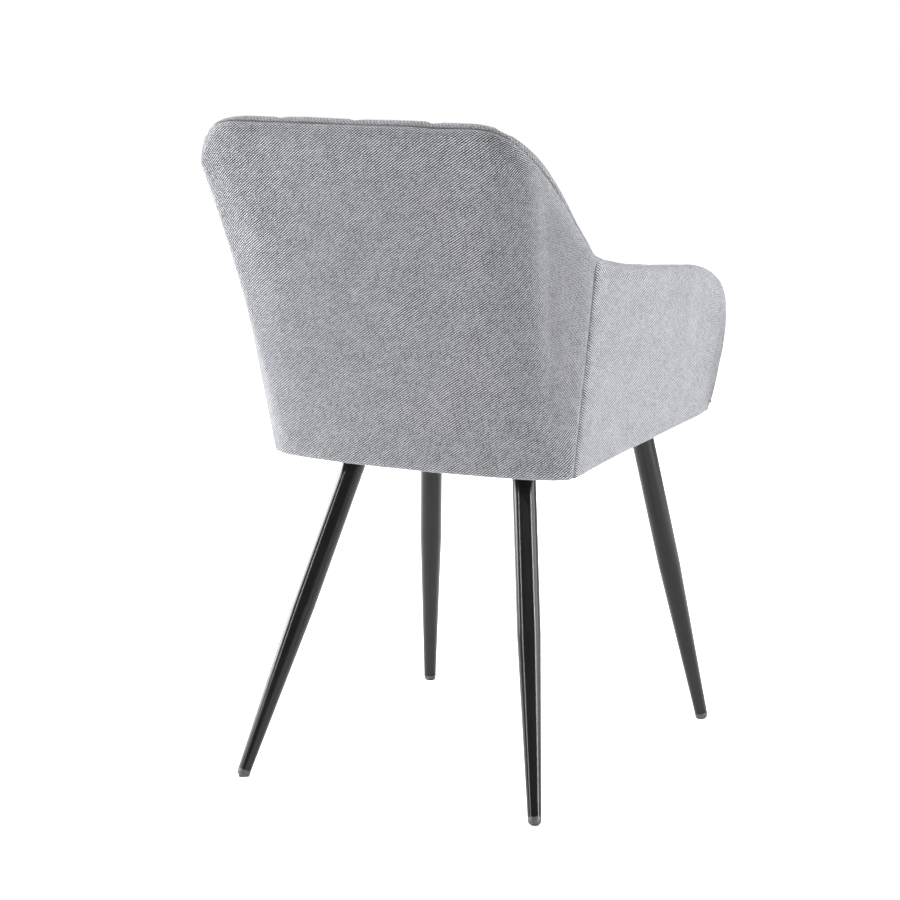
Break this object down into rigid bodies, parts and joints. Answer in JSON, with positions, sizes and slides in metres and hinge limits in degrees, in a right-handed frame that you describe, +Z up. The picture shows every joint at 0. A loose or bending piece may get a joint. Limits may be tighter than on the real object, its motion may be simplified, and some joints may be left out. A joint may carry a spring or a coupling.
{
  "type": "dining chair",
  "caption": "Upholstered tub dining chair: a padded back that wraps into low arms, a cushioned seat, and splayed tapered steel legs.",
  "frame": {"origin": "on the floor, under the middle of the chair's bounding box", "axes": "+Z up, the sitter faces -Y, +X is the sitter's left"},
  "size_m": [0.4822, 0.6178, 0.8211],
  "materials": {
    "grey_weave": "heathered light grey chunky woven upholstery",
    "lining_cloth": "black non-woven lining",
    "foam": null,
    "wadding": "white polyester wadding",
    "leg_paint": "satin black powder coat on steel tube",
    "glide_plastic": "black moulded glide",
    "zinc_steel": "zinc-plated steel",
    "plywood": "birch plywood",
    "hardwood": "sawn beech"
  },
  "bodies": {
    "root": {"arm_foam_left": "foam", "arm_foam_right": "foam", "arm_inner_cover_left": "grey_weave", "arm_inner_cover_right": "grey_weave", "back_board": "plywood", "back_bracket_left": "zinc_steel", "back_bracket_right": "zinc_steel", "back_foam": "foam", "back_inner_cover": "grey_weave", "back_outer_cover": "grey_weave", "back_wadding": "wadding", "bracket_screws": "zinc_steel", "corner_post_left": "hardwood", "corner_post_right": "hardwood", "glide_front_left": "glide_plastic", "glide_front_right": "glide_plastic", "glide_rear_left": "glide_plastic", "glide_rear_right": "glide_plastic", "leg_bolts": "zinc_steel", "leg_front_left": "leg_paint", "leg_front_right": "leg_paint", "leg_plate_front_left": "leg_paint", "leg_plate_front_right": "leg_paint", "leg_plate_rear_left": "leg_paint", "leg_plate_rear_right": "leg_paint", "leg_rear_left": "leg_paint", "leg_rear_right": "leg_paint", "leg_washers": "zinc_steel", "post_screws": "zinc_steel", "seat_board": "plywood", "seat_cover": "grey_weave", "seat_foam": "foam", "seat_lining": "lining_cloth", "seat_t_nuts": "zinc_steel", "side_board_left": "plywood", "side_board_right": "plywood", "side_bracket_front_left": "zinc_steel", "side_bracket_front_right": "zinc_steel", "side_bracket_rear_left": "zinc_steel", "side_bracket_rear_right": "zinc_steel", "side_cover_left": "grey_weave", "side_cover_right": "grey_weave", "side_wadding_left": "wadding", "side_wadding_right": "wadding"}
  },
  "joints": []
}
